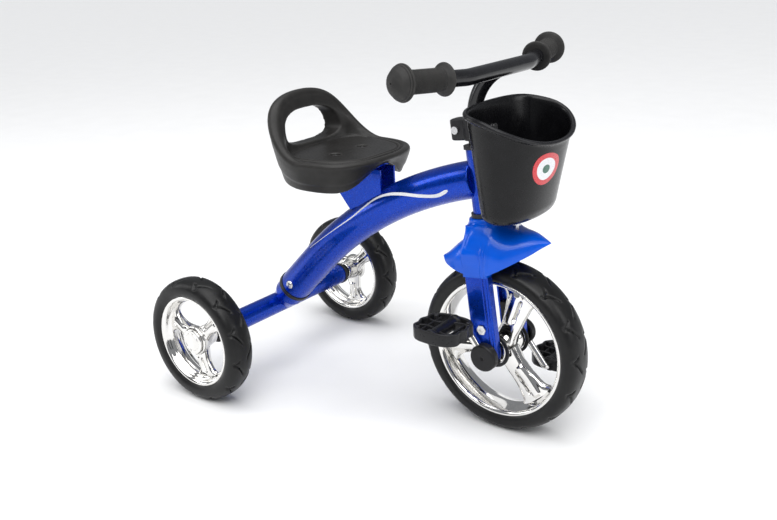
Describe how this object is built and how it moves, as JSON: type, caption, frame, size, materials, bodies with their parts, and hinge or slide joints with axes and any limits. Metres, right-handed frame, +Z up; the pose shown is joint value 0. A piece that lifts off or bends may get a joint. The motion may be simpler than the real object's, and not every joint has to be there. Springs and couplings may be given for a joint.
{
  "type": "children's tricycle",
  "caption": "Pedal tricycle for a small child: arched tube frame, moulded seat with loop handle, chrome-rimmed wheels, front fender, steering bar and a front basket.",
  "frame": {"origin": "on the ground, under the middle of the length from the rear tyres to the front tyre, on the middle plane", "axes": "+X forward, +Y to the rider's left, +Z up"},
  "size_m": [0.673, 0.418, 0.5568],
  "materials": {
    "frame_paint": "deep blue metallic paint with a gloss clear coat",
    "fender_plastic": "blue gloss moulded plastic",
    "black_plastic": "black satin moulded plastic",
    "seat_plastic": "charcoal satin moulded plastic with a fine grain",
    "basket_plastic": "black satin moulded plastic",
    "pedal_plastic": "black moulded plastic",
    "black_paint": "gloss black paint",
    "grip_rubber": "dark rubber with a diamond knurl",
    "tyre_foam": "black moulded foam tyre with curved grooves",
    "chrome_plastic": "bright chrome plating on moulded plastic",
    "chrome_trim": "bright chrome plating",
    "zinc_steel": "bright zinc plating"
  },
  "bodies": {
    "frame": {"main_tube": "frame_paint", "head_tube": "frame_paint", "seat_bracket": "frame_paint", "rear_cross_tube": "frame_paint", "joint_collar": "black_plastic", "frame_bolt": "zinc_steel", "frame_bolt_nut": "zinc_steel", "headset_upper": "black_plastic", "headset_lower": "black_plastic", "rear_axle": "zinc_steel", "tube_plug_right": "black_plastic", "tube_plug_left": "black_plastic", "axle_nuts": "zinc_steel", "seat": "seat_plastic", "seat_bolts": "zinc_steel", "seat_nuts": "zinc_steel"},
    "steering": {"steerer": "black_paint", "fork_crown": "frame_paint", "fork_leg_right": "frame_paint", "fork_leg_left": "frame_paint", "fork_bearing_right": "black_plastic", "fork_bearing_left": "black_plastic", "bearing_bolts": "zinc_steel", "bearing_nuts": "zinc_steel", "fender": "fender_plastic", "fender_bolt": "zinc_steel", "stem_clamp": "black_plastic", "clamp_bolt": "zinc_steel", "clamp_nut": "zinc_steel", "stem": "black_paint", "handlebar": "black_paint", "grip_right": "grip_rubber", "grip_left": "grip_rubber", "basket": "basket_plastic", "basket_screws": "zinc_steel"},
    "front_wheel": {"front_rim": "chrome_plastic", "front_tyre": "tyre_foam", "hub_ring_right": "black_plastic", "hub_ring_left": "black_plastic", "crank": "chrome_trim", "crank_cap_right": "black_plastic", "crank_cap_left": "black_plastic", "drive_pin": "zinc_steel", "pedal_push_nuts": "zinc_steel"},
    "pedal_right_body": {"pedal_right": "pedal_plastic"},
    "pedal_left_body": {"pedal_left": "pedal_plastic"},
    "rear_wheel_right": {"rear_rim_right": "chrome_plastic", "rear_tyre_right": "tyre_foam", "rear_bush_right": "black_plastic", "hub_cap_right": "chrome_plastic"},
    "rear_wheel_left": {"rear_rim_left": "chrome_plastic", "rear_tyre_left": "tyre_foam", "rear_bush_left": "black_plastic", "hub_cap_left": "chrome_plastic"}
  },
  "joints": [
    {"name": "steering_turn", "type": "hinge", "parent": "frame", "child": "steering", "pos_m": [0.2055, 0, 0.127], "axis": [-0.1219, 0, 0.9925], "range_deg": [-45, 45]},
    {"name": "front_wheel_spin", "type": "hinge", "parent": "steering", "child": "front_wheel", "pos_m": [0.2095, 0, 0.127], "axis": [0, 1, 0], "continuous": true},
    {"name": "pedal_right_spin", "type": "hinge", "parent": "front_wheel", "child": "pedal_right_body", "pos_m": [0.17071, -0.098, 0.17664], "axis": [0, 1, 0], "continuous": true},
    {"name": "pedal_left_spin", "type": "hinge", "parent": "front_wheel", "child": "pedal_left_body", "pos_m": [0.24829, 0.098, 0.07735], "axis": [0, 1, 0], "continuous": true},
    {"name": "rear_wheel_right_spin", "type": "hinge", "parent": "frame", "child": "rear_wheel_right", "pos_m": [-0.2365, -0.186, 0.1], "axis": [0, 1, 0], "continuous": true},
    {"name": "rear_wheel_left_spin", "type": "hinge", "parent": "frame", "child": "rear_wheel_left", "pos_m": [-0.2365, 0.186, 0.1], "axis": [0, 1, 0], "continuous": true}
  ]
}
